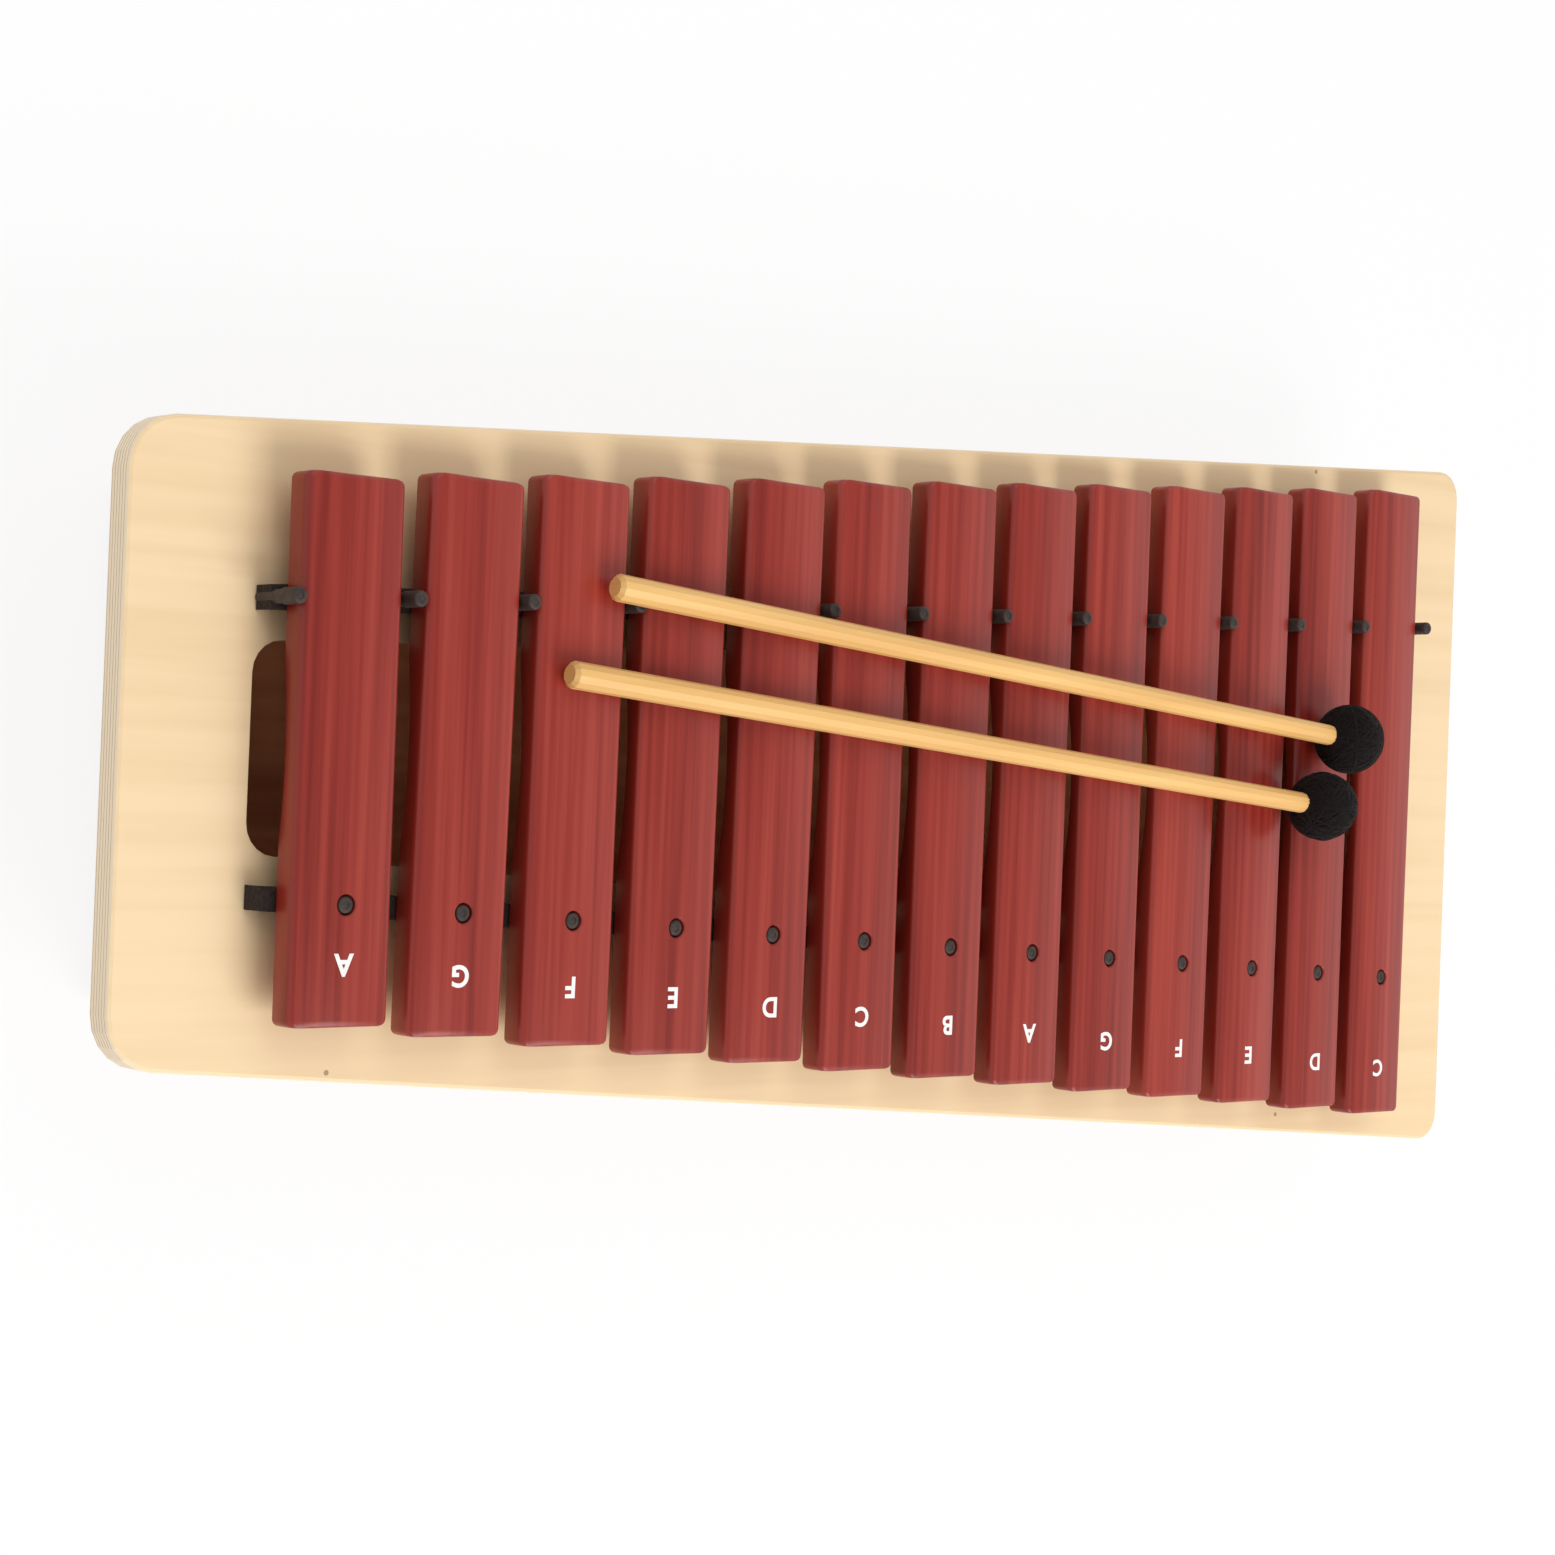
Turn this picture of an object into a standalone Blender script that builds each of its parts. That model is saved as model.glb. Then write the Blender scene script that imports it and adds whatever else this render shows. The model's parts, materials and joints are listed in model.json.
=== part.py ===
# Thirteen-bar soprano xylophone: a box resonator with a slotted plywood top,
# two felt strips, posts and pins that hold the bars, and two mallets.
# Metres, +Z up, +X towards the short high bars, -Y towards the player.
import math

import bmesh
import bpy
from mathutils import Matrix, Vector

MM = 0.001
GAP = 0.3 * MM

# Plywood top
PANEL_LENGTH = 577 * MM
PANEL_WIDTH_HIGH = 169 * MM
PANEL_WIDTH_LOW = 262 * MM
PANEL_THICKNESS = 10 * MM
PANEL_CORNER_HIGH = 15 * MM
PANEL_CORNER_LOW = 10 * MM
PANEL_EDGE_ROUND = 1.2 * MM

# Sound slot in the top
SLOT_LENGTH = 480 * MM
SLOT_START = 38.5 * MM
SLOT_WIDTH_HIGH = 57 * MM
SLOT_WIDTH_LOW = 104 * MM
SLOT_CORNER = 9 * MM

# Resonator box below the top
BOX_DEPTH = 50 * MM
BOX_END_INSET = 30 * MM
BOX_SIDE_INSET = 14 * MM
WALL_THICKNESS = 6 * MM
BOTTOM_THICKNESS = 5 * MM
FOOT_RADIUS = 9 * MM
FOOT_HEIGHT = 4 * MM
FOOT_INSET = 22 * MM

# Bars
BAR_COUNT = 13
BAR_PITCH = 37.87 * MM
BAR_WIDTH = 31.2 * MM
BAR_SIDE_HEIGHT = 9 * MM
BAR_CROWN = 1.1 * MM
BAR_ROUND = 1.6 * MM
BAR_LENGTH_HIGH = 146.5 * MM
BAR_LENGTH_LOW = 231 * MM
BARS_CENTRE_X = 2.1 * MM
ARCH_DEPTH_HIGH = 1.8 * MM
ARCH_DEPTH_LOW = 4.2 * MM
ARCH_SHARE = 0.34
# Bars are laid on by hand, so each one is turned a little about its pin.
BAR_TURNS = (0.45, -0.45, -0.15, -0.15, -0.25, 0.35, 0.15, 0.1, 0.25, -0.15, -0.1, 0.1, -0.15)

# Felt strips and the two rows of posts and pins
ROW_OFFSET = 53 * MM
ROW_SLOPE = 0.0535
STRIP_WIDTH = 7 * MM
STRIP_HEIGHT = 7.6 * MM
STRIP_OVERHANG = 1.6 * MM
POST_RADIUS = 2.3 * MM
POST_COLLAR = 0.35 * MM
PIN_RADIUS = 2.4 * MM
PIN_SINK = 0.5 * MM
PIN_CLEARANCE = 0.45 * MM
NAIL_RADIUS = 1.2 * MM
NAIL_DEPTH = 7 * MM
SLEEVE_CLEARANCE = 0.35 * MM

# Mallets
STICK_RADIUS_BUTT = 4 * MM
STICK_RADIUS_HEAD = 3.6 * MM
HEAD_RADIUS = 12.5 * MM
STICK_IN_HEAD = 6 * MM
# Name, butt and head places, and how far the butt is held up by a post's top.
POST_ABOVE_CROWN = 1.5 * MM
MALLETS = (
    ("mallet_a", (148.2 * MM, -49.9 * MM), (-182.8 * MM, -21.7 * MM), POST_ABOVE_CROWN),
    ("mallet_b", (161.9 * MM, -24.4 * MM), (-168.6 * MM, 2.8 * MM), 0.0),
)

# Levels, from the ground up
BOTTOM_Z = FOOT_HEIGHT + GAP
WALL_Z = BOTTOM_Z + BOTTOM_THICKNESS + GAP
PANEL_Z = WALL_Z + BOX_DEPTH + GAP
PANEL_TOP = PANEL_Z + PANEL_THICKNESS
STRIP_Z = PANEL_TOP + GAP
BAR_Z = STRIP_Z + STRIP_HEIGHT + GAP
BAR_TOP = BAR_Z + BAR_SIDE_HEIGHT + BAR_CROWN
PANEL_HALF = PANEL_LENGTH / 2
PANEL_SLOPE = (PANEL_WIDTH_LOW - PANEL_WIDTH_HIGH) / 2 / PANEL_LENGTH


def clear_scene():
    for item in list(bpy.data.objects):
        bpy.data.objects.remove(item, do_unlink=True)


def make_material(name, colour, roughness, metallic=0.0):
    mat = bpy.data.materials.new(name)
    mat.use_nodes = True
    shader = mat.node_tree.nodes["Principled BSDF"]
    shader.inputs["Base Color"].default_value = (*colour, 1)
    shader.inputs["Roughness"].default_value = roughness
    shader.inputs["Metallic"].default_value = metallic
    return mat


def add_object(name, bm, mat, smooth=True):
    bmesh.ops.recalc_face_normals(bm, faces=bm.faces)
    mesh = bpy.data.meshes.new(name)
    bm.to_mesh(mesh)
    bm.free()
    obj = bpy.data.objects.new(name, mesh)
    bpy.context.collection.objects.link(obj)
    if mat:
        mesh.materials.append(mat)
    if smooth:
        mesh.shade_smooth()
        mesh.set_sharp_from_angle(angle=math.radians(35))
    return obj


def cut(obj, cutters):
    # Each cutter stays in the file as a guide.
    for cutter in cutters:
        cutter.hide_render = True
        cutter.display_type = "WIRE"
        mod = obj.modifiers.new("cut_" + cutter.name, "BOOLEAN")
        mod.operation = "DIFFERENCE"
        mod.solver = "EXACT"
        mod.object = cutter


def panel_half_width(x, inset=0.0):
    return PANEL_WIDTH_HIGH / 2 + PANEL_SLOPE * (PANEL_HALF - x) - inset


def row_y(x):
    return ROW_OFFSET - ROW_SLOPE * (x - BARS_CENTRE_X)


def bar_x(i):
    return BARS_CENTRE_X + BAR_PITCH * ((BAR_COUNT - 1) / 2 - i)


def bar_length(i):
    return BAR_LENGTH_HIGH + (BAR_LENGTH_LOW - BAR_LENGTH_HIGH) * i / (BAR_COUNT - 1)


def post_x(i):
    return bar_x(i) + BAR_PITCH / 2


def rounded_outline(corners, radii, steps=5):
    # Points of a convex outline whose corners are arcs of their own radius.
    points = []
    count = len(corners)
    for i, corner in enumerate(corners):
        here = Vector(corner)
        before = (Vector(corners[i - 1]) - here).normalized()
        after = (Vector(corners[(i + 1) % count]) - here).normalized()
        half = before.angle(after) / 2
        centre = here + (before + after).normalized() * radii[i] / math.sin(half)
        start = here + before * radii[i] / math.tan(half) - centre
        end = here + after * radii[i] / math.tan(half) - centre
        sweep = start.angle_signed(end)
        for k in range(steps + 1):
            angle = math.atan2(start.y, start.x) - sweep * k / steps
            points.append(centre + radii[i] * Vector((math.cos(angle), math.sin(angle))))
    return points


def extrude_outline(points, z0, z1, edge_round=0.0):
    # A plate on an outline, with a softened top and bottom edge.
    bm = bmesh.new()
    base = [bm.verts.new((p[0], p[1], z0)) for p in points]
    face = bm.faces.new(base)
    top = bmesh.ops.extrude_face_region(bm, geom=[face])
    verts = [v for v in top["geom"] if isinstance(v, bmesh.types.BMVert)]
    bmesh.ops.translate(bm, verts=verts, vec=(0, 0, z1 - z0))
    bmesh.ops.recalc_face_normals(bm, faces=bm.faces)
    if edge_round:
        rim = [e for e in bm.edges if abs(e.verts[0].co.z - e.verts[1].co.z) < 1e-6]
        bmesh.ops.bevel(bm, geom=rim, offset=edge_round, segments=2, affect="EDGES", profile=0.5)
    return bm


def turned(profile, sides):
    # A round solid about +Z from (radius, height) points, top to bottom.
    bm = bmesh.new()
    rings = []
    for radius, z in profile:
        ring = []
        for k in range(sides):
            a = 2 * math.pi * k / sides
            ring.append(bm.verts.new((radius * math.cos(a), radius * math.sin(a), z)))
        rings.append(ring)
    for upper, lower in zip(rings, rings[1:]):
        for k in range(sides):
            n = (k + 1) % sides
            bm.faces.new((upper[k], lower[k], lower[n], upper[n]))
    bm.faces.new(rings[0])
    bm.faces.new(list(reversed(rings[-1])))
    return bm


def hole_cutter(name, x, y, radius, z0, z1, sides=12):
    bm = turned([(radius, z1), (radius, z0)], sides)
    bmesh.ops.translate(bm, verts=bm.verts, vec=(x, y, 0))
    return add_object(name, bm, None, smooth=False)


def make_panel(mat):
    high, low = PANEL_WIDTH_HIGH / 2, PANEL_WIDTH_LOW / 2
    corners = [(PANEL_HALF, -high), (PANEL_HALF, high), (-PANEL_HALF, low), (-PANEL_HALF, -low)]
    radii = [PANEL_CORNER_HIGH, PANEL_CORNER_HIGH, PANEL_CORNER_LOW, PANEL_CORNER_LOW]
    bm = extrude_outline(rounded_outline(corners, radii), PANEL_Z, PANEL_TOP, PANEL_EDGE_ROUND)
    panel = add_object("top_panel", bm, mat)
    x1 = PANEL_HALF - SLOT_START
    x0 = x1 - SLOT_LENGTH
    slot = [(x1, -SLOT_WIDTH_HIGH / 2), (x1, SLOT_WIDTH_HIGH / 2),
            (x0, SLOT_WIDTH_LOW / 2), (x0, -SLOT_WIDTH_LOW / 2)]
    bm = extrude_outline(rounded_outline(slot, [SLOT_CORNER] * 4),
                         PANEL_Z - PANEL_THICKNESS, PANEL_TOP + PANEL_THICKNESS)
    cutters = [add_object("guide_slot", bm, None, smooth=False)]
    z0, z1 = PANEL_TOP - NAIL_DEPTH - GAP, PANEL_TOP + PANEL_THICKNESS
    radius = NAIL_RADIUS + SLEEVE_CLEARANCE
    for i in range(BAR_COUNT + 1):
        x = post_x(i)
        cutters.append(hole_cutter(f"guide_post_hole_{i + 1:02d}", x, -row_y(x), radius, z0, z1, 8))
    for i in range(BAR_COUNT):
        x = bar_x(i)
        cutters.append(hole_cutter(f"guide_pin_hole_{i + 1:02d}", x, row_y(x), radius, z0, z1, 8))
    cut(panel, cutters)


def make_box(wood, board):
    # Four walls on a bottom board, under the overhanging top.
    end = PANEL_HALF - BOX_END_INSET

    def half(x):
        return panel_half_width(x, BOX_SIDE_INSET)

    outline = [(end, -half(end)), (end, half(end)), (-end, half(-end)), (-end, -half(-end))]
    add_object("bottom_board", extrude_outline(outline, BOTTOM_Z, BOTTOM_Z + BOTTOM_THICKNESS),
               board, smooth=False)
    for name, side in (("side_wall_player", -1), ("side_wall_far", 1)):
        wall = [(end, side * half(end)), (-end, side * half(-end)),
                (-end, side * (half(-end) - WALL_THICKNESS)), (end, side * (half(end) - WALL_THICKNESS))]
        add_object(name, extrude_outline(wall, WALL_Z, WALL_Z + BOX_DEPTH), wood, smooth=False)
    inner = WALL_THICKNESS + GAP
    for name, outer, inside in (("end_wall_high", end, end - WALL_THICKNESS),
                                ("end_wall_low", -end, -end + WALL_THICKNESS)):
        wall = [(outer, -half(outer) + inner), (outer, half(outer) - inner),
                (inside, half(inside) - inner), (inside, -half(inside) + inner)]
        add_object(name, extrude_outline(wall, WALL_Z, WALL_Z + BOX_DEPTH), wood, smooth=False)


def make_feet(mat):
    x = PANEL_HALF - BOX_END_INSET - FOOT_INSET
    for name, sx, sy in (("foot_high_player", 1, -1), ("foot_high_far", 1, 1),
                         ("foot_low_player", -1, -1), ("foot_low_far", -1, 1)):
        y = panel_half_width(sx * x, BOX_SIDE_INSET + FOOT_INSET)
        soft = FOOT_HEIGHT / 4
        profile = [(FOOT_RADIUS, FOOT_HEIGHT), (FOOT_RADIUS, soft), (FOOT_RADIUS - soft, 0)]
        bm = turned(profile, 16)
        bmesh.ops.translate(bm, verts=bm.verts, vec=(sx * x, sy * y, 0))
        add_object(name, bm, mat)


def make_strips(mat):
    # Felt strips under the bars' two quiet lines, pierced by the posts and pins.
    x1 = post_x(0) + STRIP_OVERHANG
    x0 = post_x(BAR_COUNT) - STRIP_OVERHANG
    rows = (("felt_strip_player", -1, [post_x(i) for i in range(BAR_COUNT + 1)], POST_RADIUS),
            ("felt_strip_far", 1, [bar_x(i) for i in range(BAR_COUNT)], PIN_RADIUS))
    for name, side, places, radius in rows:
        half = STRIP_WIDTH / 2
        outline = [(x1, side * row_y(x1) - half), (x1, side * row_y(x1) + half),
                   (x0, side * row_y(x0) + half), (x0, side * row_y(x0) - half)]
        strip = add_object(name, extrude_outline(outline, STRIP_Z, STRIP_Z + STRIP_HEIGHT),
                           mat, smooth=False)
        cutters = [hole_cutter(f"guide_{name}_{k:02d}", x, side * row_y(x), radius + SLEEVE_CLEARANCE,
                               STRIP_Z - GAP * 10, STRIP_Z + STRIP_HEIGHT * 2, 10)
                   for k, x in enumerate(places)]
        cut(strip, cutters)


def make_sleeved_nail(name, x, y, top, radius, mat):
    # A nail in the top with its rubber sleeve standing on the plywood.
    foot = PANEL_TOP + GAP
    tip = PANEL_TOP - NAIL_DEPTH
    profile = [(radius - 0.6 * MM, top), (radius, top - 0.6 * MM),
               (radius, foot + (top - foot) * 0.62),
               (radius - POST_COLLAR, foot + (top - foot) * 0.62 - POST_COLLAR),
               (radius - POST_COLLAR, foot), (NAIL_RADIUS, foot), (NAIL_RADIUS, tip)]
    bm = turned(profile, 10)
    bmesh.ops.translate(bm, verts=bm.verts, vec=(x, y, 0))
    add_object(name, bm, mat)


def make_posts_and_pins(rubber):
    for i in range(BAR_COUNT + 1):
        x = post_x(i)
        make_sleeved_nail(f"post_{i + 1:02d}", x, -row_y(x), BAR_TOP + POST_ABOVE_CROWN,
                          POST_RADIUS, rubber)
    for i in range(BAR_COUNT):
        x = bar_x(i)
        make_sleeved_nail(f"pin_{i + 1:02d}", x, row_y(x), BAR_TOP - PIN_SINK, PIN_RADIUS, rubber)


def bar_section(half_width, lift, crown, soft):
    # Half-round-edged section of a bar: flat below, crowned above.
    side_top = BAR_SIDE_HEIGHT
    points = [(-half_width + soft * 0.5, lift), (half_width - soft * 0.5, lift),
              (half_width, lift + soft * 0.5), (half_width, side_top - soft),
              (half_width - soft * 0.4, side_top - soft * 0.25)]
    for t in (0.72, 0.3, -0.3, -0.72):
        points.append((t * half_width, side_top + crown * (1 - t * t)))
    points += [(-half_width + soft * 0.4, side_top - soft * 0.25),
               (-half_width, side_top - soft), (-half_width, lift + soft * 0.5)]
    return points


def make_bar(i, mat):
    # One bar: crowned top, soft ends and the tuning arch cut under its middle.
    length = bar_length(i)
    half = length / 2
    share = i / (BAR_COUNT - 1)
    depth = ARCH_DEPTH_HIGH + (ARCH_DEPTH_LOW - ARCH_DEPTH_HIGH) * share
    arch = half * ARCH_SHARE
    stations = [-half, -half + BAR_ROUND * 0.4, -half + BAR_ROUND * 1.3]
    stations += [arch * t for t in (-1, -0.7, -0.35, 0, 0.35, 0.7, 1)]
    stations += [half - BAR_ROUND * 1.3, half - BAR_ROUND * 0.4, half]
    bm = bmesh.new()
    rings = []
    for y in stations:
        ends = half - abs(y)
        draw_in = BAR_ROUND * (1 - min(1, ends / (BAR_ROUND * 1.3))) ** 2
        lift = depth * (1 - (y / arch) ** 2) if abs(y) < arch else 0
        section = bar_section(BAR_WIDTH / 2 - draw_in, lift + draw_in * 0.5,
                              BAR_CROWN - draw_in * 0.6, BAR_ROUND)
        rings.append([bm.verts.new((u, y, BAR_Z + z)) for u, z in section])
    for a, b in zip(rings, rings[1:]):
        for k in range(len(a)):
            n = (k + 1) % len(a)
            bm.faces.new((a[k], a[n], b[n], b[k]))
    bm.faces.new(rings[0])
    bm.faces.new(list(reversed(rings[-1])))
    x = bar_x(i)
    pivot = Vector((x, row_y(x), 0))
    turn = Matrix.Rotation(math.radians(BAR_TURNS[i]), 4, "Z")
    place = Matrix.Translation(pivot) @ turn @ Matrix.Translation(-pivot) @ Matrix.Translation((x, 0, 0))
    bmesh.ops.transform(bm, matrix=place, verts=bm.verts)
    bar = add_object(f"bar_{i + 1:02d}", bm, mat)
    cut(bar, [hole_cutter(f"guide_bar_hole_{i + 1:02d}", pivot.x, pivot.y, PIN_RADIUS + PIN_CLEARANCE,
                          BAR_Z - BAR_SIDE_HEIGHT, BAR_TOP + BAR_SIDE_HEIGHT, 14)])


def make_mallet(name, butt_xy, head_xy, held_up, wood, yarn):
    # A turned stick whose butt lies on one bar and whose head lies on the low bars.
    butt = Vector((*butt_xy, BAR_TOP + GAP + STICK_RADIUS_BUTT + held_up))
    head = Vector((*head_xy, BAR_TOP + GAP + HEAD_RADIUS))
    run = head - butt
    along = run.normalized()
    to_place = Matrix.Translation(butt) @ Vector((0, 0, 1)).rotation_difference(along).to_matrix().to_4x4()
    stick_length = run.length - HEAD_RADIUS + STICK_IN_HEAD
    soft = STICK_RADIUS_BUTT * 0.3
    bm = turned([(STICK_RADIUS_HEAD, stick_length), (STICK_RADIUS_BUTT, soft),
                 (STICK_RADIUS_BUTT - soft, 0)], 12)
    bmesh.ops.transform(bm, matrix=to_place, verts=bm.verts)
    add_object(name + "_stick", bm, wood)
    profile = []
    rings = 10
    for k in range(rings + 1):
        a = math.pi * (k + 0.5) / (rings + 1)
        profile.append((HEAD_RADIUS * math.sin(a), run.length + HEAD_RADIUS * math.cos(a)))
    bm = turned(profile, 16)
    bmesh.ops.transform(bm, matrix=to_place, verts=bm.verts)
    ball = add_object(name + "_head", bm, yarn)
    bm = turned([(STICK_RADIUS_HEAD + GAP * 1.5, stick_length + GAP),
                 (STICK_RADIUS_HEAD + GAP * 1.5, stick_length - HEAD_RADIUS * 2)], 12)
    bmesh.ops.transform(bm, matrix=to_place, verts=bm.verts)
    cut(ball, [add_object("guide_" + name, bm, None, smooth=False)])


def main():
    clear_scene()
    ply = make_material("ply_birch", (0.85, 0.66, 0.44), 0.5)
    wood = make_material("box_wood", (0.55, 0.33, 0.17), 0.6)
    bar_wood = make_material("bar_red_brown", (0.33, 0.035, 0.024), 0.32)
    felt = make_material("black_felt", (0.03, 0.028, 0.027), 0.95)
    rubber = make_material("grey_rubber", (0.07, 0.065, 0.065), 0.6)
    stick_wood = make_material("stick_birch", (0.83, 0.53, 0.2), 0.4)
    yarn = make_material("black_yarn", (0.012, 0.01, 0.012), 0.9)
    make_panel(ply)
    make_box(wood, wood)
    make_feet(rubber)
    make_strips(felt)
    make_posts_and_pins(rubber)
    for i in range(BAR_COUNT):
        make_bar(i, bar_wood)
    for name, butt, head, held_up in MALLETS:
        make_mallet(name, butt, head, held_up, stick_wood, yarn)


main()
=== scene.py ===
import json
import math
import bmesh
import bpy
from mathutils import Matrix, Quaternion, Vector


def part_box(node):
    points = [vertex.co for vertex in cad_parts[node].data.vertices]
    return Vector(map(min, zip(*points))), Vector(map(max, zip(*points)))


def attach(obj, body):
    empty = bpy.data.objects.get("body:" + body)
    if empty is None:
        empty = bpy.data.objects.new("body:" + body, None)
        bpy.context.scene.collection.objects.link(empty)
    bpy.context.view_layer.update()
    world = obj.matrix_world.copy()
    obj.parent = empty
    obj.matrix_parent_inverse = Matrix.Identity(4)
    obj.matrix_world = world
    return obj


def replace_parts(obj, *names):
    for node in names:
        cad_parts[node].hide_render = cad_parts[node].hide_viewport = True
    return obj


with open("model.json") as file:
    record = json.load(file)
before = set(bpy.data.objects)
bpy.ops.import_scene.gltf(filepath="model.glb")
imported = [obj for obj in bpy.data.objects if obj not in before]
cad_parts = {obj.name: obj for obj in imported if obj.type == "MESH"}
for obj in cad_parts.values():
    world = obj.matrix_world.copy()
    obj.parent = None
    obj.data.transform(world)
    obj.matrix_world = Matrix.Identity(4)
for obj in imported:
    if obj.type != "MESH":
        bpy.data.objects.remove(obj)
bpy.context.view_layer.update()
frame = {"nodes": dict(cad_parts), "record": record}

mm = 0.001
barCount = 13
nodes = frame["nodes"]
bodies = frame["record"]["behaviour"]["bodies"]
bodyOf = {node: body for body, members in bodies.items() for node in members}


# Shader maths: a wrapped socket takes the usual operators
class Sock:
    def __init__(self, tree, socket):
        self.tree, self.socket = tree, socket

    def math(self, operation, *others):
        return self.tree.math(operation, self, *others)

    def __add__(self, other):
        return self.tree.math("ADD", self, other)

    def __radd__(self, other):
        return self.tree.math("ADD", other, self)

    def __sub__(self, other):
        return self.tree.math("SUBTRACT", self, other)

    def __rsub__(self, other):
        return self.tree.math("SUBTRACT", other, self)

    def __mul__(self, other):
        return self.tree.math("MULTIPLY", self, other)

    def __rmul__(self, other):
        return self.tree.math("MULTIPLY", other, self)


class Tree:
    def __init__(self, name):
        self.mat = bpy.data.materials.new(name)
        self.mat.use_nodes = True
        self.nodes, self.links = self.mat.node_tree.nodes, self.mat.node_tree.links
        self.shader = self.nodes["Principled BSDF"]

    def put(self, socket, value):
        if isinstance(value, Sock):
            self.links.new(value.socket, socket)
        else:
            socket.default_value = value

    def add(self, kind, settings=None, values=None, output=0):
        node = self.nodes.new(kind)
        for key, value in (settings or {}).items():
            setattr(node, key, value)
        for key, value in (values or {}).items():
            self.put(node.inputs[key], value)
        return Sock(self, node.outputs[output])

    def math(self, operation, *values):
        return self.add("ShaderNodeMath", {"operation": operation}, dict(enumerate(values)))

    def ramp(self, factor, stops):
        node = self.nodes.new("ShaderNodeValToRGB")
        elements = node.color_ramp.elements
        stops = list(stops)
        while len(elements) < len(stops):
            elements.new(0.5)
        for element, (place, colour) in zip(elements, stops):
            element.position, element.color = place, (*colour, 1)
        self.put(node.inputs[0], factor)
        return Sock(self, node.outputs[0])

    def mix(self, factor, a, b):
        node = self.nodes.new("ShaderNodeMix")
        node.data_type = "RGBA"
        self.put(node.inputs[0], factor)
        for index, value in ((6, a), (7, b)):  # the colour inputs of a Mix node
            self.put(node.inputs[index], value if isinstance(value, Sock) else (*value, 1))
        return Sock(self, node.outputs[2])

    def coords(self):
        return self.add("ShaderNodeTexCoord", output=3)  # Object coordinates

    def stretched(self, scale=(1, 1, 1)):
        return self.add("ShaderNodeMapping", {}, {"Vector": self.coords(), "Scale": scale})

    def noise(self, scale, detail, stretch=(1, 1, 1)):
        return self.add("ShaderNodeTexNoise", {}, {
            "Vector": self.stretched(stretch), "Scale": scale, "Detail": detail})

    def heightOf(self, vector):
        return self.add("ShaderNodeSeparateXYZ", {}, {"Vector": vector}, output=2)

    def bump(self, height, strength, distance):
        values = {"Height": height, "Strength": strength, "Distance": distance}
        self.put(self.shader.inputs["Normal"], self.add("ShaderNodeBump", {}, values))

    def done(self, colour, roughness, **fixed):
        self.put(self.shader.inputs["Base Color"], colour)
        self.put(self.shader.inputs["Roughness"], roughness)
        for key, value in fixed.items():
            self.put(self.shader.inputs[key.replace("_", " ")], value)
        return self.mat


# Red-brown lacquer over straight grain that runs along each bar
barLook = {"dark": (0.19, 0.012, 0.007), "mid": (0.29, 0.026, 0.016), "light": (0.375, 0.047, 0.03),
           "stops": (0.33, 0.5, 0.68), "fineGrain": (420, 7, 60), "fineShare": 0.6,
           "broadGrain": (55, 2.5, 20), "bump": 0.12, "roughness": 0.27, "uneven": 0.12,
           "gloss": 0.38, "coat": 0.08, "coatRoughness": 0.16}


def lacquerMaterial():
    t = Tree("barLacquer")
    fine = t.noise(1, 5, barLook["fineGrain"])
    broad = t.noise(1, 2, barLook["broadGrain"])
    grain = fine * barLook["fineShare"] + broad * (1 - barLook["fineShare"])
    colour = t.ramp(grain, zip(barLook["stops"], (barLook["dark"], barLook["mid"], barLook["light"])))
    t.bump(fine, barLook["bump"], 0.2 * mm)
    roughness = barLook["roughness"] + fine * barLook["uneven"]
    return t.done(colour, roughness, Coat_Weight=barLook["coat"],
                  Coat_Roughness=barLook["coatRoughness"], Specular_IOR_Level=barLook["gloss"])


# Birch plywood: a pale face with a few small knots, and an edge in thin dark and light plies
plyLook = {"face": (0.9, 0.68, 0.41), "faceDark": (0.83, 0.6, 0.345), "faceGrain": (6, 150, 40),
           "cloudScale": 9, "cloudShare": 0.3, "faceStops": (0.3, 0.62), "knot": (0.3, 0.16, 0.08),
           "knotScale": 9.0, "knotSize": 0.007, "knotShow": 0.75, "edgeDark": (0.52, 0.34, 0.19),
           "edgeLight": (0.93, 0.77, 0.55), "edgeStops": (0.14, 0.42), "plies": 7, "flatFrom": 0.6,
           "bump": 0.08, "roughness": 0.42, "uneven": 0.15}


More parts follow.
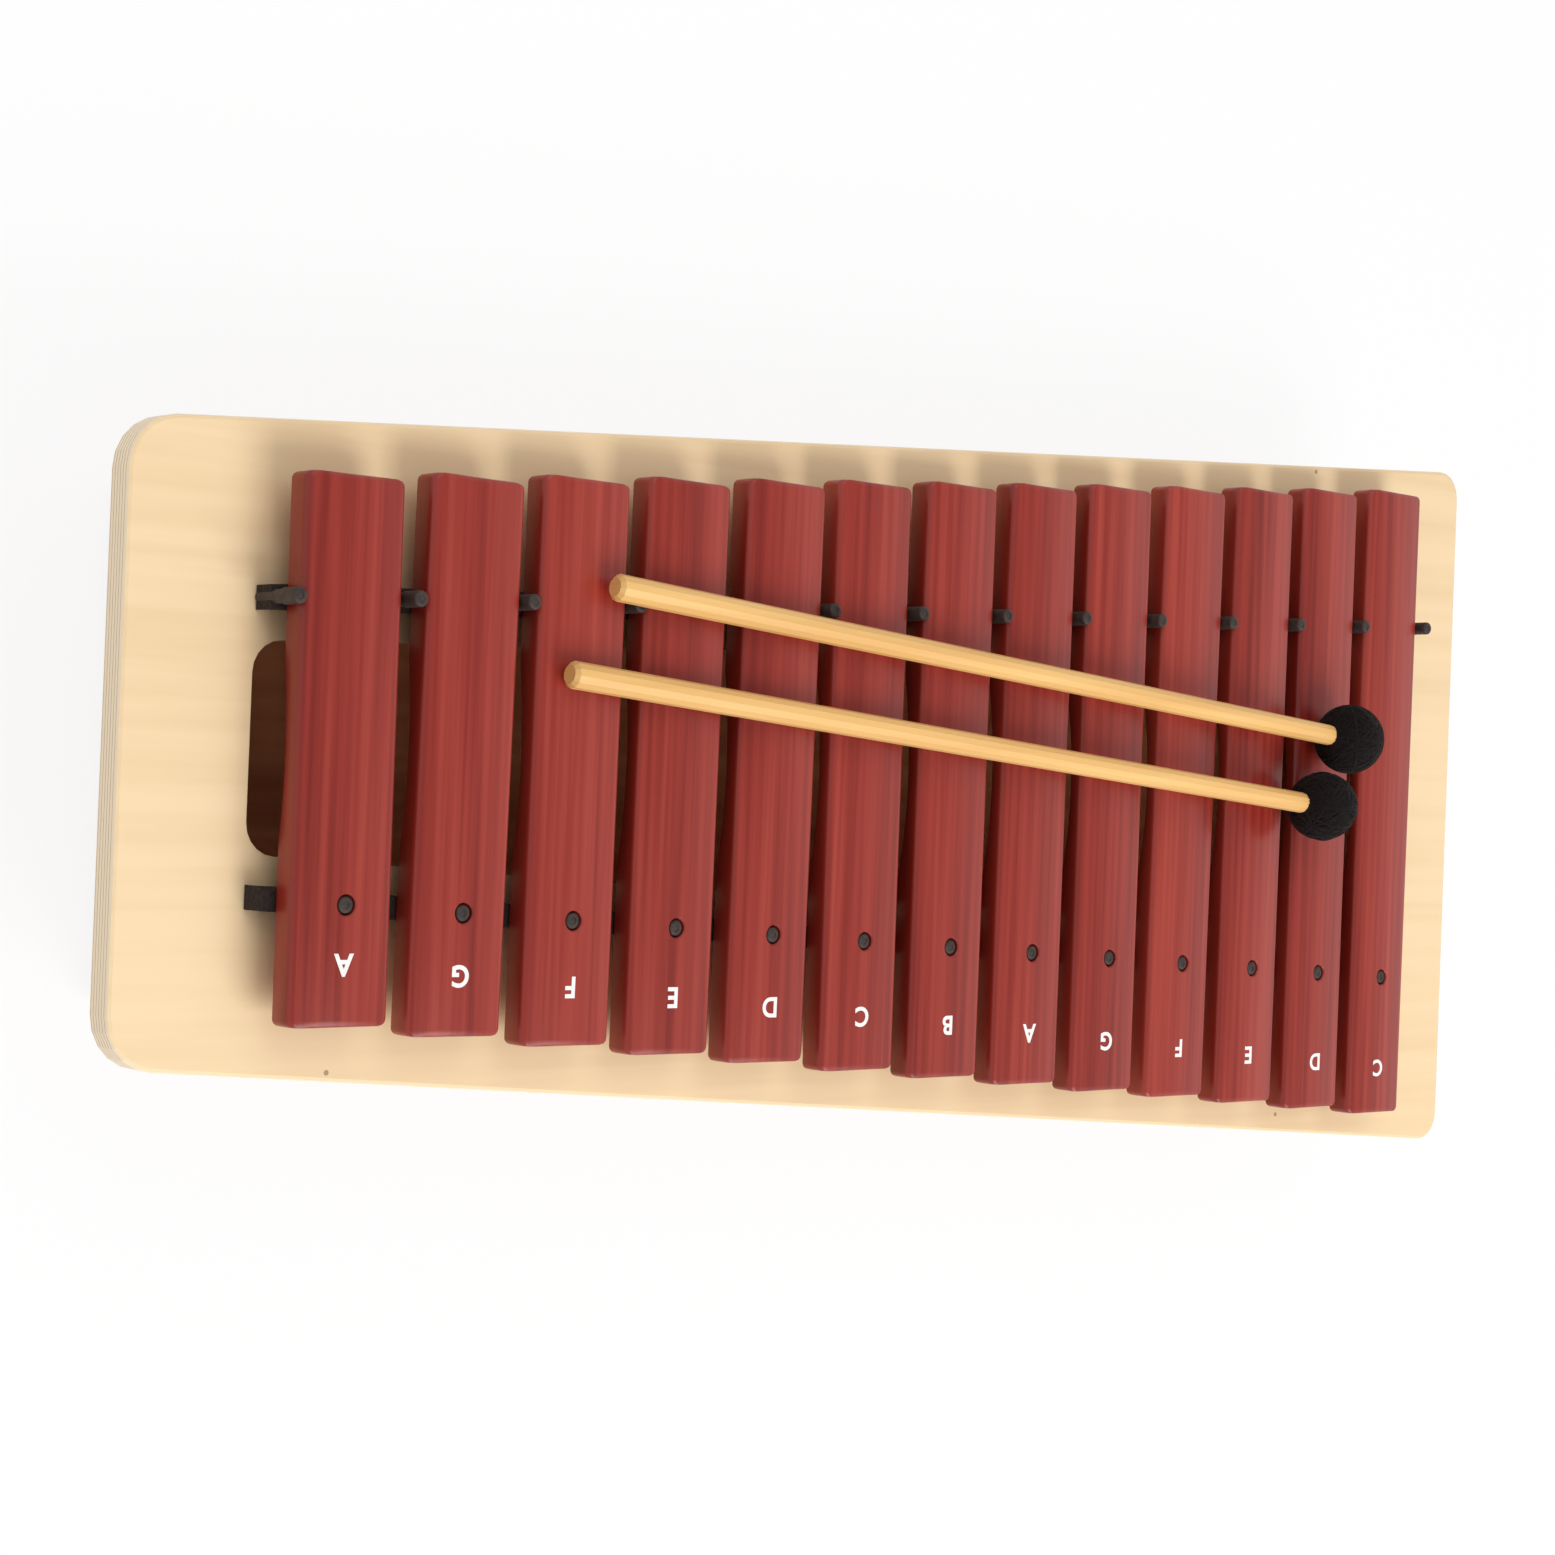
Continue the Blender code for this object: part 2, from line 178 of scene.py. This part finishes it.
def plywoodMaterial():
    t = Tree("birchPlywood")
    grain = t.noise(1, 4, plyLook["faceGrain"])
    cloud = t.noise(plyLook["cloudScale"], 2)
    figure = grain * (1 - plyLook["cloudShare"]) + cloud * plyLook["cloudShare"]
    face = t.ramp(figure, zip(plyLook["faceStops"], (plyLook["faceDark"], plyLook["face"])))
    knots = t.add("ShaderNodeTexVoronoi", {"voronoi_dimensions": "2D"},
                  {"Vector": t.stretched(), "Scale": plyLook["knotScale"]})
    knot = knots.math("LESS_THAN", plyLook["knotSize"])
    face = t.mix(knot * plyLook["knotShow"], face, plyLook["knot"])
    low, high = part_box("top_panel")
    turns = (t.heightOf(t.coords()) - low[2]) * (math.pi * plyLook["plies"] / (high[2] - low[2]))
    ply = turns.math("SINE").math("ABSOLUTE")
    edge = t.ramp(ply, zip(plyLook["edgeStops"], (plyLook["edgeDark"], plyLook["edgeLight"])))
    up = t.heightOf(t.add("ShaderNodeNewGeometry", output=1))  # the surface's normal
    flat = up.math("ABSOLUTE").math("GREATER_THAN", plyLook["flatFrom"])
    t.bump(grain, plyLook["bump"], 0.2 * mm)
    return t.done(t.mix(flat, edge, face), plyLook["roughness"] + grain * plyLook["uneven"])


# Plain woods, with grain that runs along X
boxLook = {"dark": (0.5, 0.15, 0.052), "light": (0.72, 0.3, 0.12), "stops": (0.3, 0.68),
           "grain": (5, 90, 260), "bump": 0.15, "roughness": 0.6, "uneven": 0.15}
stickLook = {"dark": (0.78, 0.44, 0.14), "light": (0.88, 0.54, 0.19), "stops": (0.3, 0.68),
             "grain": (5, 160, 160), "bump": 0.15, "roughness": 0.34, "uneven": 0.15}


def woodMaterial(name, look):
    t = Tree(name)
    grain = t.noise(1, 5, look["grain"])
    t.bump(grain, look["bump"], 0.3 * mm)
    colour = t.ramp(grain, zip(look["stops"], (look["dark"], look["light"])))
    return t.done(colour, look["roughness"] + grain * look["uneven"])


# Felt, yarn, rubber and ink: mottled, with a fine rough surface
feltLook = {"dark": (0.014, 0.009, 0.008), "light": (0.042, 0.029, 0.025), "scale": 900,
            "roughness": 0.95, "depth": 0.6 * mm, "gloss": 0.25}
yarnLook = {"dark": (0.002, 0.001, 0.001), "light": (0.011, 0.006, 0.006), "scale": 1400,
            "roughness": 0.9, "depth": 0.4 * mm, "gloss": 0.2}
sleeveLook = {"dark": (0.022, 0.015, 0.013), "light": (0.055, 0.038, 0.032), "scale": 500,
              "roughness": 0.55, "depth": 0.2 * mm, "gloss": 0.35}
footLook = {"dark": (0.02, 0.02, 0.02), "light": (0.05, 0.05, 0.05), "scale": 400,
            "roughness": 0.7, "depth": 0.2 * mm, "gloss": 0.5}
inkLook = {"dark": (0.82, 0.81, 0.79), "light": (0.93, 0.92, 0.9), "scale": 700,
           "roughness": 0.5, "depth": 0.05 * mm, "gloss": 0.5}
mottle = {"detail": 6, "stops": (0.3, 0.7), "bump": 0.7, "sheen": 0.03}


def mottledMaterial(name, look):
    t = Tree(name)
    fuzz = t.noise(look["scale"], mottle["detail"])
    t.bump(fuzz, mottle["bump"], look["depth"])
    colour = t.ramp(fuzz, zip(mottle["stops"], (look["dark"], look["light"])))
    return t.done(colour, look["roughness"], Sheen_Weight=mottle["sheen"], Specular_IOR_Level=look["gloss"])


lacquer = lacquerMaterial()
plywood = plywoodMaterial()
boxWood = woodMaterial("boxPlywood", boxLook)
stickWood = woodMaterial("stickBirch", stickLook)
felt = mottledMaterial("blackFelt", feltLook)
yarn = mottledMaterial("blackYarn", yarnLook)
sleeveRubber = mottledMaterial("greyRubber", sleeveLook)
footRubber = mottledMaterial("footRubber", footLook)
letterInk = mottledMaterial("whiteInk", inkLook)
print("materials made")


def paint(names, finish):
    for name in names:
        nodes[name].data.materials.clear()
        nodes[name].data.materials.append(finish)


paint(["top_panel"], plywood)
paint(["bottom_board", "side_wall_player", "side_wall_far", "end_wall_high", "end_wall_low"], boxWood)
paint([name for name in nodes if name.startswith("foot_")], footRubber)
paint(["mallet_a_stick", "mallet_b_stick"], stickWood)
paint([name for name in nodes if name.startswith("bar_")], lacquer)
print("solids painted")


def addObject(name, data):
    piece = bpy.data.objects.new(name, data)
    bpy.context.scene.collection.objects.link(piece)
    return piece


def addPiece(name, mesh, body, finish):
    mesh.materials.clear()
    mesh.materials.append(finish)
    piece = addObject(name, mesh)
    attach(piece, body)
    return piece


# The mesh of an object with its modifiers applied; the object is removed
def plainMesh(holder):
    bpy.context.view_layer.update()
    mesh = bpy.data.meshes.new_from_object(holder.evaluated_get(bpy.context.evaluated_depsgraph_get()))
    bpy.data.objects.remove(holder, do_unlink=True)
    return mesh


def smoothMesh(name, bm, sharpAngle=40):
    bmesh.ops.recalc_face_normals(bm, faces=bm.faces)
    mesh = bpy.data.meshes.new(name)
    bm.to_mesh(mesh)
    bm.free()
    mesh.shade_smooth()
    mesh.set_sharp_from_angle(angle=math.radians(sharpAngle))
    return mesh


# A closed body through a row of rings with equal counts of points
def loft(rings):
    bm = bmesh.new()
    made = [[bm.verts.new(point) for point in ring] for ring in rings]
    for a, b in zip(made, made[1:]):
        for k in range(len(a)):
            n = (k + 1) % len(a)
            bm.faces.new((a[k], a[n], b[n], b[k]))
    bm.faces.new(made[0])
    bm.faces.new(list(reversed(made[-1])))
    return bm


# The rings of a round body: profile is pairs of radius and height
def turnedRings(profile, sides, x=0, y=0):
    angles = [2 * math.pi * k / sides for k in range(sides)]
    return [[(x + r * math.cos(a), y + r * math.sin(a), z) for a in angles] for r, z in profile]


# A crowned bar with softened edges, a tuning arch under its middle and a hole for its pin
barShape = {"width": 31.2 * mm, "side": 9 * mm, "crown": 1.1 * mm, "topRound": 2.3 * mm,
            "bottomRound": 1.15 * mm, "endRound": 1.9 * mm, "endAngles": (0, 30, 50, 70, 90),
            "archHigh": 1.8 * mm, "archLow": 4.2 * mm, "archShare": 0.34, "archSteps": 8,
            "cornerSteps": 6, "crownSteps": 16, "endShare": 0.5, "endBand": 3 * mm, "sharpAngle": 50}
holeShape = {"radius": 2.85 * mm, "rim": 0.35 * mm, "sides": 32, "below": 5 * mm, "above": 1.05 * mm,
             "ringStep": 3.4 * mm, "ringsEachSide": 2, "sharpAngle": 28}


# A rounded corner: its arc turns 90 degrees on from start, without its last point
def cornerArc(centreX, centreZ, radius, start):
    angles = [math.radians(start + 90 * k / barShape["cornerSteps"]) for k in range(barShape["cornerSteps"])]
    return [(centreX + radius * math.cos(a), centreZ + radius * math.sin(a)) for a in angles]


# The bar's section: drawIn narrows it at the round ends, where the crown drops by endShare of that,
# and lift raises its underside
def barSection(drawIn, lift):
    side, top, bottom = barShape["side"], barShape["topRound"], barShape["bottomRound"]
    half = barShape["width"] / 2 - drawIn
    inner = half - top
    crown = barShape["crown"] - drawIn * barShape["endShare"]
    corners = cornerArc(half - bottom, lift + bottom, bottom, -90) + cornerArc(inner, side - top, top, 0)
    points = list(corners)
    for k in range(barShape["crownSteps"] + 1):
        u = inner * (1 - 2 * k / barShape["crownSteps"])
        points.append((u, side + crown * (1 - (u / inner) ** 2)))
    return points + [(-u, z) for u, z in reversed(corners)]


# Where a bar lies, as a matrix, and half its length, from the solid's own corners near its ends
def barPlace(name):
    low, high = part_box(name)
    points = [vertex.co for vertex in nodes[name].data.vertices]
    near = [point.x for point in points if point.y < low[1] + barShape["endBand"]]
    far = [point.x for point in points if point.y > high[1] - barShape["endBand"]]
    start = Vector((sum(near) / len(near), low[1], 0))
    end = Vector((sum(far) / len(far), high[1], 0))
    turn = -math.atan2(end.x - start.x, end.y - start.y)
    half = (high[1] - low[1]) / 2 - abs(math.sin(turn)) * barShape["width"] / 2
    return Matrix.Translation((start + end) / 2) @ Matrix.Rotation(turn, 4, "Z"), half


# Places along a bar that get a ring: its round ends, its arch and its hole
def barStations(half, arch, atPin):
    endRound = barShape["endRound"]
    stations = [half - endRound * (1 - math.cos(math.radians(a))) for a in barShape["endAngles"]]
    stations += [arch * k / barShape["archSteps"] for k in range(barShape["archSteps"] + 1)]
    each = holeShape["ringsEachSide"]
    stations += [atPin + k * holeShape["ringStep"] for k in range(-each, each + 1)]
    return sorted({-y for y in stations} | set(stations))


def barRings(stations, half, arch, depth, bottom):
    endRound = barShape["endRound"]
    rings = []
    for y in stations:
        intoEnd = endRound - min(endRound, half - abs(y))
        drawIn = endRound - math.sqrt(max(0, endRound ** 2 - intoEnd ** 2))
        lift = depth * (1 - (y / arch) ** 2) if abs(y) < arch else 0
        section = barSection(drawIn, lift + drawIn * barShape["endShare"])
        rings.append([(u, y, z + bottom) for u, z in section])
    return rings


# The hole's cutter: straight up the bar, then widening at the rim and on above it at the same slope
def makeHoleCutter(x, y, bottom, top):
    r, rim, above = holeShape["radius"], holeShape["rim"], holeShape["above"]
    profile = [(r, bottom - holeShape["below"]), (r, top - rim), (r + rim, top)]
    profile.append((r + rim + above, top + above))
    return addObject("cutter", smoothMesh("cutter", loft(turnedRings(profile, holeShape["sides"], x, y))))


def middleOf(name):
    low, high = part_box(name)
    return (low[0] + high[0]) / 2, (low[1] + high[1]) / 2


# Makes one bar, and gives its place, half its length and the height of its crown
def makeBar(index):
    name = f"bar_{index + 1:02d}"
    low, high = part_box(name)
    pinX, pinY = middleOf(f"pin_{index + 1:02d}")
    place, half = barPlace(name)
    arch = half * barShape["archShare"]
    depth = barShape["archHigh"] + (barShape["archLow"] - barShape["archHigh"]) * index / (barCount - 1)
    stations = barStations(half, arch, abs(pinY - middleOf(name)[1]))
    bm = loft(barRings(stations, half, arch, depth, low[2]))
    bmesh.ops.transform(bm, matrix=place, verts=bm.verts)
    bar = addObject(name + "_body", smoothMesh(name, bm, barShape["sharpAngle"]))
    cutter = makeHoleCutter(pinX, pinY, low[2], high[2])
    hole = bar.modifiers.new("hole", "BOOLEAN")
    hole.operation, hole.solver, hole.object = "DIFFERENCE", "EXACT", cutter
    mesh = plainMesh(bar)
    bpy.data.objects.remove(cutter, do_unlink=True)
    mesh.set_sharp_from_angle(angle=math.radians(holeShape["sharpAngle"]))
    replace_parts(addPiece(f"shaped_{name}", mesh, bodyOf[name], lacquer), name)
    return place, half, low[2] + barShape["side"] + barShape["crown"]


# Note letters, upright for the player; bar 1 is the highest note
letterShape = {"notes": "AGFEDCBAGFEDC", "size": 8.3 * mm, "weight": 0.22 * mm, "thick": 0.04 * mm,
               "fromEnd": 16.9 * mm}


def makeLetter(index, place, half, top):
    text = bpy.data.curves.new("letter", "FONT")
    text.body = letterShape["notes"][index]
    text.size, text.offset, text.extrude = letterShape["size"], letterShape["weight"], letterShape["thick"]
    text.align_x, text.align_y = "CENTER", "CENTER"
    mesh = plainMesh(addObject("letter", text))
    mesh.transform(place @ Matrix.Translation((0, half - letterShape["fromEnd"], top)))
    body = bodyOf[f"bar_{index + 1:02d}"]
    addPiece(f"note_letter_{index + 1:02d}", mesh, body, letterInk)


for barIndex in range(barCount):
    makeLetter(barIndex, *makeBar(barIndex))
print("bars and letters made")


# A new Geometry Nodes tree with named inputs, and its two end nodes
def newNodeTree(name, inputs):
    tree = bpy.data.node_groups.new(name, "GeometryNodeTree")
    tree.interface.new_socket("Geometry", in_out="INPUT", socket_type="NodeSocketGeometry")
    tree.interface.new_socket("Geometry", in_out="OUTPUT", socket_type="NodeSocketGeometry")
    for label, kind in inputs:
        tree.interface.new_socket(label, in_out="INPUT", socket_type=kind)
    return tree, tree.nodes.new("NodeGroupInput"), tree.nodes.new("NodeGroupOutput")


# Runs a tree on a holder's mesh; its inputs are set by socket identifier
def runNodeTree(tree, holder, settings):
    modifier = holder.modifiers.new("made", "NODES")
    modifier.node_group = tree
    for item in tree.interface.items_tree:
        if item.in_out == "INPUT" and item.name in settings:
            modifier[item.identifier] = settings[item.name]
    return plainMesh(holder)


# Sets a copy of one sleeve on every point of the holder
def sleeveTree():
    tree, source, out = newNodeTree("sleeves", [
        ("Sleeve", "NodeSocketObject"), ("Finish", "NodeSocketMaterial")])
    info = tree.nodes.new("GeometryNodeObjectInfo")
    copies = tree.nodes.new("GeometryNodeInstanceOnPoints")
    real = tree.nodes.new("GeometryNodeRealizeInstances")
    finish = tree.nodes.new("GeometryNodeSetMaterial")
    link = tree.links.new
    link(source.outputs["Sleeve"], info.inputs["Object"])
    link(source.outputs["Geometry"], copies.inputs["Points"])
    link(info.outputs["Geometry"], copies.inputs["Instance"])
    link(copies.outputs["Instances"], real.inputs[0])
    link(real.outputs[0], finish.inputs["Geometry"])
    link(source.outputs["Finish"], finish.inputs["Material"])
    link(finish.outputs[0], out.inputs[0])
    return tree


# Rubber sleeves on their nails, one mesh for the posts and one for the pins
sleeveShape = {"sides": 28, "collarShare": 0.62, "collar": 0.35 * mm, "topRound": 0.7 * mm,
               "topAngles": (0, 0.5, 1.0, math.pi / 2), "nail": 0.9 * mm, "nailRim": 1.08 * mm,
               "nailCentre": 0.36 * mm, "dip": 0.25 * mm, "centreDip": 0.2 * mm, "seatGap": 0.3 * mm}


# From the panel up: a slimmer lower length, the collar, a rounded top and the nail's head in it
def sleeveProfile(radius, top):
    s = sleeveShape
    slim, collarUp, topRound = radius - s["collar"], top * s["collarShare"], s["topRound"]
    profile = [(slim, 0), (slim, collarUp - s["collar"]), (radius, collarUp)]
    for angle in s["topAngles"]:
        profile.append((radius - topRound * (1 - math.cos(angle)), top - topRound * (1 - math.sin(angle))))
    profile += [(s["nailRim"], top), (s["nail"], top - s["dip"])]
    return profile + [(s["nailCentre"], top - s["centreDip"])]


def makeSleeves(pieceName, kind, count, tree):
    names = [f"{kind}_{k + 1:02d}" for k in range(count)]
    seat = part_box("top_panel")[1][2] + sleeveShape["seatGap"]
    low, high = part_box(names[0])
    profile = sleeveProfile((high[0] - low[0]) / 2, high[2] - seat)
    sleeve = addObject("sleeve", smoothMesh("sleeve", loft(turnedRings(profile, sleeveShape["sides"]))))
    points = bpy.data.meshes.new("places")
    points.from_pydata([(*middleOf(name), seat) for name in names], [], [])
    mesh = runNodeTree(tree, addObject("places", points), {"Sleeve": sleeve, "Finish": sleeveRubber})
    bpy.data.objects.remove(sleeve, do_unlink=True)
    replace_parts(addPiece(pieceName, mesh, "resonator", sleeveRubber), *names)


sleeves = sleeveTree()
makeSleeves("post_sleeves", "post", barCount + 1, sleeves)
makeSleeves("pin_sleeves", "pin", barCount, sleeves)
print("posts and pins made")


# Felt strips with softly uneven edges
stripShape = {"step": 4 * mm, "wander": 0.18 * mm, "wave": 1.7, "round": 0.8 * mm, "cornerSteps": 4,
              "endBand": 3.5 * mm}


def stripRing(x, y0, y1, bottom, top):
    r, steps = stripShape["round"], stripShape["cornerSteps"]
    corners = ((y1 - r, bottom, -90), (y1 - r, top - r, 0), (y0 + r, top - r, 90), (y0 + r, bottom, 180))
    ring = []
    for y, z, start in corners:
        for k in range(steps):
            angle = math.radians(start + 90 * k / (steps - 1))
            ring.append((x, y + r * math.cos(angle), max(bottom, z + r * math.sin(angle))))
    return ring


def makeStrip(name, phase):
    low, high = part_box(name)
    ends = []
    for x in (low[0], high[0]):
        ys = [v.co.y for v in nodes[name].data.vertices if abs(v.co.x - x) < stripShape["endBand"]]
        ends.append((min(ys), max(ys)))
    count = int((high[0] - low[0]) / stripShape["step"])
    rings = []
    for k in range(count + 1):
        along = k / count
        y0, y1 = (ends[0][i] + (ends[1][i] - ends[0][i]) * along for i in (0, 1))
        sway = stripShape["wander"] * math.sin(k * stripShape["wave"] + phase) * 0.5
        x = low[0] + (high[0] - low[0]) * along
        y0, y1 = y0 + stripShape["wander"] + sway, y1 - stripShape["wander"] + sway
        rings.append(stripRing(x, y0, y1, low[2], high[2]))
    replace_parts(addPiece(f"soft_{name}", smoothMesh(name, loft(rings)), "resonator", felt), name)


makeStrip("felt_strip_player", -1)
makeStrip("felt_strip_far", 1)
print("felt strips made")


# Turns of yarn at random angles round the holder's own core; the seed fixes them
def windingTree():
    tree, source, out = newNodeTree("winding", [
        ("Turns", "NodeSocketInt"), ("Radius", "NodeSocketFloat"), ("Yarn", "NodeSocketFloat"),
        ("Smallest", "NodeSocketFloat"), ("Sides", "NodeSocketInt"), ("Seed", "NodeSocketInt"),
        ("Finish", "NodeSocketMaterial")])
    line = tree.nodes.new("GeometryNodeMeshLine")
    loop = tree.nodes.new("GeometryNodeCurvePrimitiveCircle")
    section = tree.nodes.new("GeometryNodeCurvePrimitiveCircle")
    copies = tree.nodes.new("GeometryNodeInstanceOnPoints")
    turn = tree.nodes.new("FunctionNodeRandomValue")
    size = tree.nodes.new("FunctionNodeRandomValue")
    real = tree.nodes.new("GeometryNodeRealizeInstances")
    tube = tree.nodes.new("GeometryNodeCurveToMesh")
    smooth = tree.nodes.new("GeometryNodeSetShadeSmooth")
    join = tree.nodes.new("GeometryNodeJoinGeometry")
    finish = tree.nodes.new("GeometryNodeSetMaterial")
    loop.inputs["Resolution"].default_value = 40
    line.inputs["Offset"].default_value = (0, 0, 0)
    turn.data_type = "FLOAT_VECTOR"
    turn.inputs[0].default_value = (0, 0, 0)
    turn.inputs[1].default_value = (6.283, 6.283, 6.283)  # a whole turn about each axis
    size.data_type = "FLOAT"
    size.inputs[3].default_value = 1.0
    link = tree.links.new
    link(source.outputs["Turns"], line.inputs["Count"])
    link(source.outputs["Radius"], loop.inputs["Radius"])
    link(source.outputs["Yarn"], section.inputs["Radius"])
    link(source.outputs["Sides"], section.inputs["Resolution"])
    link(source.outputs["Smallest"], size.inputs[2])
    link(source.outputs["Seed"], turn.inputs["Seed"])
    link(source.outputs["Seed"], size.inputs["Seed"])
    link(line.outputs[0], copies.inputs["Points"])
    link(loop.outputs[0], copies.inputs["Instance"])
    link(turn.outputs[0], copies.inputs["Rotation"])
    link(size.outputs[1], copies.inputs["Scale"])
    link(copies.outputs[0], real.inputs[0])
    link(real.outputs[0], tube.inputs["Curve"])
    link(section.outputs[0], tube.inputs["Profile Curve"])
    link(tube.outputs[0], smooth.inputs[0])
    link(smooth.outputs[0], join.inputs[0])
    link(source.outputs["Geometry"], join.inputs[0])
    link(join.outputs[0], finish.inputs["Geometry"])
    link(source.outputs["Finish"], finish.inputs["Material"])
    link(finish.outputs[0], out.inputs[0])
    return tree


# Mallet heads: a round core under many crossing turns of yarn
headShape = {"turns": 110, "yarn": 0.8 * mm, "smallest": 0.93, "sides": 5, "core": 0.9, "coreSteps": 4,
             "fill": 0.95, "seeds": {"mallet_a": 3, "mallet_b": 8}}


def makeHead(mallet, tree):
    low, high = (Vector(corner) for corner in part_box(mallet + "_head"))
    radius = (high.z - low.z) / 2
    bm = bmesh.new()
    bmesh.ops.create_icosphere(bm, subdivisions=headShape["coreSteps"], radius=radius * headShape["core"])
    mesh = runNodeTree(tree, addObject("core", smoothMesh("core", bm)), {
        "Turns": headShape["turns"], "Radius": radius - headShape["yarn"], "Yarn": headShape["yarn"],
        "Smallest": headShape["smallest"], "Sides": headShape["sides"],
        "Seed": headShape["seeds"][mallet], "Finish": yarn})
    mesh.transform(Matrix.Translation((low + high) / 2))
    piece = addPiece(f"wound_{mallet}_head", mesh, bodyOf[mallet + "_head"], yarn)
    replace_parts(piece, mallet + "_head")


winding = windingTree()
makeHead("mallet_a", winding)
makeHead("mallet_b", winding)
print("mallet heads wound")

# The camera looks down on the panel's middle from past its narrow high end, turned on its side
view = {"focalPixels": 2800, "framePixels": 1555, "sensor": 36, "place": (0.6367, 0.0106, 0.7180),
        "aim": (0.0009, 0.0004, 0.0), "roll": 91.51}


def makeCamera():
    data = bpy.data.cameras.new("camera")
    data.sensor_width = view["sensor"]
    data.lens = view["sensor"] * view["focalPixels"] / view["framePixels"]
    camera = addObject("camera", data)
    aimed = (Vector(view["aim"]) - Vector(view["place"])).to_track_quat("-Z", "Y")
    turned = aimed @ Quaternion((0, 0, 1), math.radians(view["roll"]))
    camera.matrix_world = Matrix.Translation(view["place"]) @ turned.to_matrix().to_4x4()
    bpy.context.scene.camera = camera


# Two soft lamps, each aimed at the origin
lamps = {"key": {"place": (-0.35, 1.3, 1.7), "size": 1.4, "power": 30},
         "fill": {"place": (0.5, -1.2, 1.6), "size": 1.6, "power": 8}}


def makeLamp(name, lamp):
    data = bpy.data.lights.new(name, "AREA")
    data.size, data.energy = lamp["size"], lamp["power"]
    holder = addObject(name, data)
    holder.location = lamp["place"]
    holder.rotation_euler = (-Vector(lamp["place"])).to_track_quat("-Z", "Y").to_euler()


# Mixes in the seen shader for the camera, reflections and clear things; other rays meet the lit one
def seenWhite(tree, lit, seen, surface, amount):
    path = tree.nodes.new("ShaderNodeLightPath")
    direct = tree.nodes.new("ShaderNodeMath")
    direct.operation = "ADD"
    through = tree.nodes.new("ShaderNodeMath")
    through.operation = "ADD"
    share = tree.nodes.new("ShaderNodeMath")
    share.operation, share.use_clamp = "MULTIPLY", True
    share.inputs[1].default_value = amount
    blend = tree.nodes.new("ShaderNodeMixShader")
    link = tree.links.new
    link(path.outputs["Is Camera Ray"], direct.inputs[0])
    link(path.outputs["Is Glossy Ray"], direct.inputs[1])
    link(direct.outputs[0], through.inputs[0])
    link(path.outputs["Is Transmission Ray"], through.inputs[1])
    link(through.outputs[0], share.inputs[0])
    link(share.outputs[0], blend.inputs[0])
    link(lit, blend.inputs[1])
    link(seen, blend.inputs[2])
    link(blend.outputs[0], surface)


# A white room whose ceiling is greyer where it is seen
room = {"light": 0.55, "ceiling": (0.3, 0.3, 0.3, 1), "ceilingFrom": 0.55, "ceilingFull": 0.9}


def makeRoom():
    world = bpy.data.worlds.new("world")
    bpy.context.scene.world = world
    world.use_nodes = True
    tree = world.node_tree
    lit = tree.nodes["Background"]
    lit.inputs[0].default_value, lit.inputs[1].default_value = (1, 1, 1, 1), room["light"]
    seen = tree.nodes.new("ShaderNodeBackground")
    direction = tree.nodes.new("ShaderNodeTexCoord")
    height = tree.nodes.new("ShaderNodeSeparateXYZ")
    overhead = tree.nodes.new("ShaderNodeValToRGB")
    lower, upper = overhead.color_ramp.elements
    lower.position, lower.color = room["ceilingFrom"], (1, 1, 1, 1)
    upper.position, upper.color = room["ceilingFull"], room["ceiling"]
    tree.links.new(direction.outputs["Generated"], height.inputs[0])
    tree.links.new(height.outputs[2], overhead.inputs[0])
    tree.links.new(overhead.outputs[0], seen.inputs[0])
    surface = tree.nodes["World Output"].inputs[0]
    seenWhite(tree, lit.outputs[0], seen.outputs[0], surface, 1.0)


# A plain pale floor, which keeps the object's shadow
floorShape = {"half": 4, "colour": (0.9, 0.9, 0.9, 1), "roughness": 0.9, "white": 0.88}


def makeFloor():
    half = floorShape["half"]
    corners = [(-half, -half, 0), (half, -half, 0), (half, half, 0), (-half, half, 0)]
    mesh = bpy.data.meshes.new("floor")
    mesh.from_pydata(corners, [], [(0, 1, 2, 3)])
    mat = bpy.data.materials.new("floor")
    mat.use_nodes = True
    tree = mat.node_tree
    lit = tree.nodes["Principled BSDF"]
    lit.inputs["Base Color"].default_value = floorShape["colour"]
    lit.inputs["Roughness"].default_value = floorShape["roughness"]
    seen = tree.nodes.new("ShaderNodeEmission")
    surface = tree.nodes["Material Output"].inputs[0]
    seenWhite(tree, lit.outputs[0], seen.outputs[0], surface, floorShape["white"])
    mesh.materials.append(mat)
    addObject("floor", mesh)


makeCamera()
for lampName, lampLook in lamps.items():
    makeLamp(lampName, lampLook)
makeRoom()
makeFloor()
bpy.context.scene.view_settings.view_transform = "Standard"

print("scene ready")
